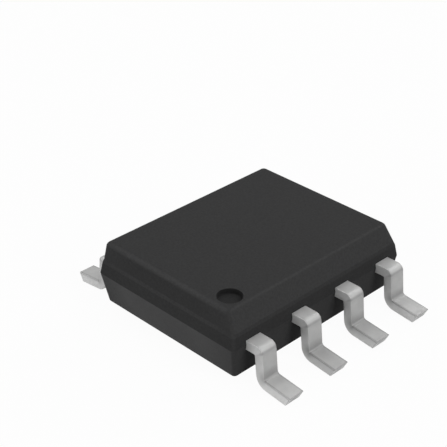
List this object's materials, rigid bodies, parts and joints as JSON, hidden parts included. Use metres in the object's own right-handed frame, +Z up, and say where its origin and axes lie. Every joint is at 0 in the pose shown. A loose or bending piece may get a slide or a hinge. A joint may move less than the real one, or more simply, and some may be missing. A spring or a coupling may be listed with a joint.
{
  "type": "surface mount integrated circuit",
  "caption": "Small-outline chip: a dark moulded body with a bevelled side and a dimple at lead one, tinned gull-wing leads along both long sides, die and bond wires inside.",
  "frame": {"origin": "centre of the footprint, on the board's surface that the toes stand on", "axes": "+X across the chip to the row of leads 1 to 4, +Y along that row from lead 1 to lead 4, +Z up through the marked top"},
  "size_m": [0.0062, 0.005, 0.0016],
  "materials": {
    "mould_compound": "dark grey epoxy moulding compound with a fine eroded grain",
    "tin_plate": "matte tin plate",
    "frame_copper": "bare rolled copper alloy",
    "die_adhesive": "silver-filled epoxy",
    "silicon": "polished, with faint circuit blocks",
    "wire_gold": "drawn gold wire"
  },
  "bodies": {
    "root": {"moulded_body": "mould_compound", "lead_1": "tin_plate", "lead_2": "tin_plate", "lead_3": "tin_plate", "lead_4": "tin_plate", "lead_5": "tin_plate", "lead_6": "tin_plate", "lead_7": "tin_plate", "lead_8": "tin_plate", "die_paddle": "frame_copper", "die_attach": "die_adhesive", "silicon_die": "silicon", "bond_wire_1": "wire_gold", "bond_wire_2": "wire_gold", "bond_wire_3": "wire_gold", "bond_wire_4": "wire_gold", "bond_wire_5": "wire_gold", "bond_wire_6": "wire_gold", "bond_wire_7": "wire_gold", "bond_wire_8": "wire_gold"}
  },
  "joints": []
}
